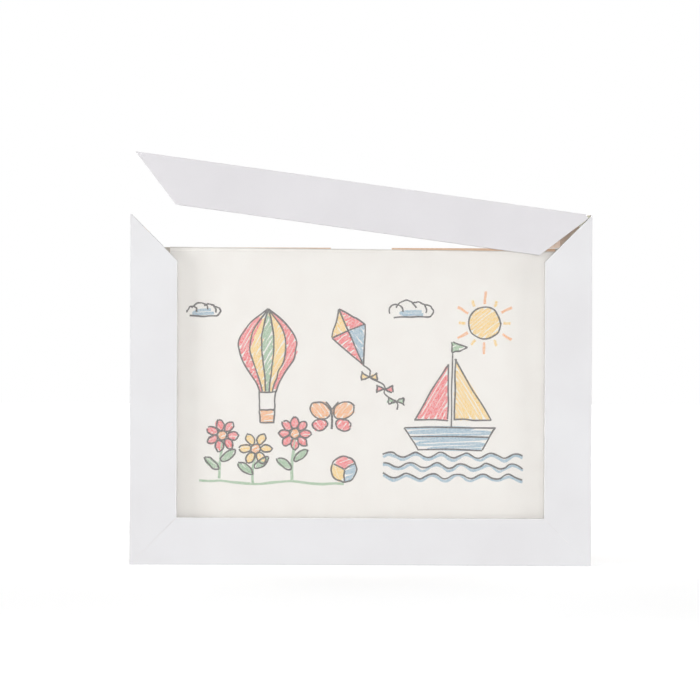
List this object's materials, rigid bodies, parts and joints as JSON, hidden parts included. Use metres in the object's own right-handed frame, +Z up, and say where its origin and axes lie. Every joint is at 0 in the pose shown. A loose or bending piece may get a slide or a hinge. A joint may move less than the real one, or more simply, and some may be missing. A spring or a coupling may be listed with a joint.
{
  "type": "swing-top picture frame",
  "caption": "Flat white mitred frame for an A4 drawing whose top rail swings up in its plane about one outer corner, so that a sheet drops into the pocket behind the clear front.",
  "frame": {"origin": "middle of the frame's underside, halfway through its depth", "axes": "+X to the right as seen from the front, +Y towards the wall, +Z up"},
  "size_m": [0.355, 0.02, 0.3176],
  "materials": {
    "white_paint": "satin",
    "hardboard": "matte",
    "clear_acrylic": "polished",
    "drawing_paper": "matte",
    "grey_card": "matte",
    "zinc_steel": "satin",
    "nickel": "polished"
  },
  "bodies": {
    "frame": {"left_stile": "white_paint", "right_stile": "white_paint", "bottom_rail": "white_paint", "clear_front": "clear_acrylic", "picture_sheet": "drawing_paper", "spacer_left": "grey_card", "spacer_right": "grey_card", "spacer_bottom": "grey_card", "back_board": "hardboard", "board_point_left_low": "zinc_steel", "board_point_left_high": "zinc_steel", "board_point_right_low": "zinc_steel", "board_point_right_high": "zinc_steel", "board_point_bottom_left": "zinc_steel", "board_point_bottom_middle": "zinc_steel", "board_point_bottom_right": "zinc_steel", "v_nail_left_1": "zinc_steel", "v_nail_left_2": "zinc_steel", "hanger_bracket_left": "zinc_steel", "hanger_rivet_left_1": "zinc_steel", "hanger_rivet_left_2": "zinc_steel", "v_nail_right_1": "zinc_steel", "v_nail_right_2": "zinc_steel", "hanger_bracket_right": "zinc_steel", "hanger_rivet_right_1": "zinc_steel", "hanger_rivet_right_2": "zinc_steel", "stile_magnet": "nickel", "fixed_hinge_leaf": "zinc_steel", "hinge_rivet": "zinc_steel", "hinge_washer": "zinc_steel", "fixed_leaf_screw_1": "zinc_steel", "fixed_leaf_screw_2": "zinc_steel"},
    "rail": {"top_rail": "white_paint", "moving_hinge_leaf": "zinc_steel", "rail_magnet": "nickel", "moving_leaf_screw_1": "zinc_steel", "moving_leaf_screw_2": "zinc_steel"}
  },
  "joints": [
    {"name": "rail_swing", "type": "hinge", "parent": "frame", "child": "rail", "pos_m": [0.1749, 0, 0.2674], "axis": [0, 1, 0], "range_deg": [-7.77, 82.23]}
  ]
}
